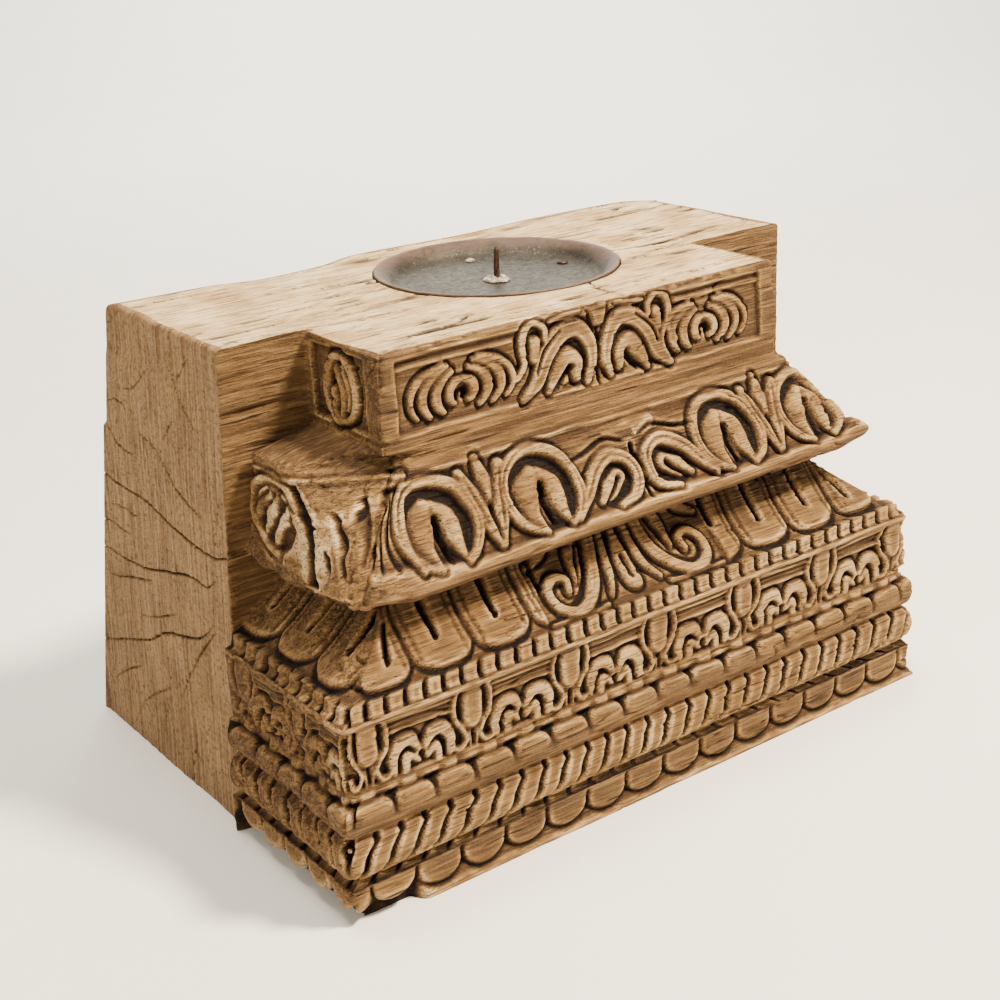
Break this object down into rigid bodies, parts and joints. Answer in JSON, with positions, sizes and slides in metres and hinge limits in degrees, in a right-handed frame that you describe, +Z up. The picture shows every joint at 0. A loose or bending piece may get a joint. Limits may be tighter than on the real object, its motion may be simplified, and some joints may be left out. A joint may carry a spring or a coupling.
{
  "type": "candle holder",
  "caption": "Carved hardwood block with a stepped, moulded front and a steel dish with a spike in its flat top, which holds one pillar candle or tealight.",
  "frame": {"origin": "middle of the block's footprint, on the surface that it stands on", "axes": "+Z up, +X along the block's length, the carved front facing -Y"},
  "size_m": [0.26, 0.194, 0.176],
  "materials": {
    "carved_wood": "dry weathered hardwood, unvarnished, dark in the carving",
    "dish_steel": "pressed steel sheet, dull grey with a rusty rim",
    "spike_iron": "rusted iron",
    "weld_crust": "rough weld with pale crust"
  },
  "bodies": {
    "root": {"carved_block": "carved_wood", "candle_dish": "dish_steel", "spike": "spike_iron", "spike_weld": "weld_crust", "dish_tack_1": "spike_iron", "dish_tack_2": "spike_iron"}
  },
  "joints": []
}
